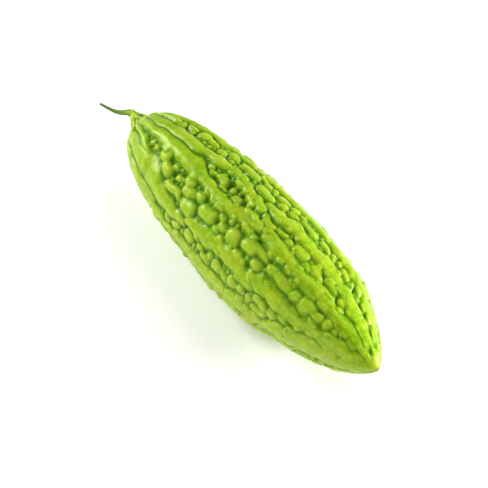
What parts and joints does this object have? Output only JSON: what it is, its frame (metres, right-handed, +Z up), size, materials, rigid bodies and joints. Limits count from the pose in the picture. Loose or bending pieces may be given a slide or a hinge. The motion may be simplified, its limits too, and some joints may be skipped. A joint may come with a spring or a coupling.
{
  "type": "bitter gourd",
  "caption": "Whole green bitter gourd as picked, with wavy lengthwise ridges, warts in the valleys between them, a pointed tip and a short bent stem; it lies on its side.",
  "frame": {"origin": "middle of the small flat spot on the underside that the gourd rests on", "axes": "+X along the gourd from its stem end to its blossom tip, +Z up from the surface it lies on, -Y the side that the stem bends to"},
  "size_m": [0.2576, 0.0734, 0.0722],
  "materials": {
    "gourd_skin": "waxy, slightly glossy green skin",
    "stem_skin": "dull green stem"
  },
  "bodies": {
    "root": {"gourd": "gourd_skin", "stem": "stem_skin"}
  },
  "joints": []
}
